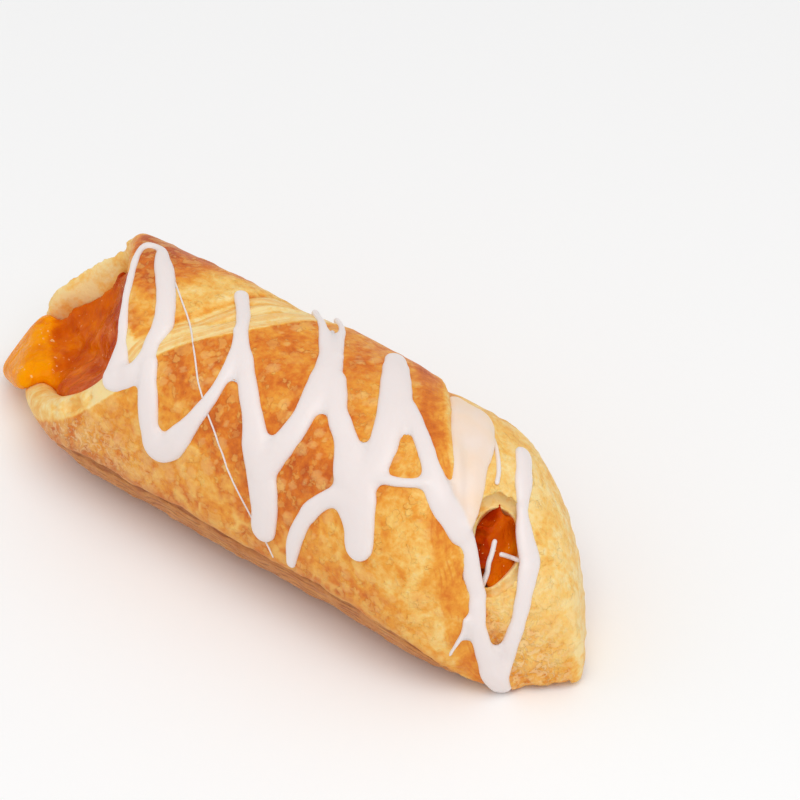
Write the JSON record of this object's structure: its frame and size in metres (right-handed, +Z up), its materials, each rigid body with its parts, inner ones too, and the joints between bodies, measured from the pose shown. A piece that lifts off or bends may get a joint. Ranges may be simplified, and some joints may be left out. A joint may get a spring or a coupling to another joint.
{
  "type": "folded danish pastry",
  "caption": "Danish pastry: laminated dough folded over a fruit filling that shows in an open mouth at one end and in a small pocket at the other. Rests flat on its base.",
  "frame": {"origin": "middle of the bounding box, on the plane that the pastry rests on", "axes": "+X along the roll from the open mouth to the closed toe, +Z up, -Y on the side that the outer fold comes up from"},
  "size_m": [0.1376, 0.0428, 0.0416],
  "materials": {
    "dough": "baked laminated dough, golden with browned blisters and an egg wash's soft sheen",
    "filling": "cooked apricot, wet and lumpy, partly see-through"
  },
  "bodies": {
    "root": {"dough": "dough", "filling": "filling"}
  },
  "joints": []
}
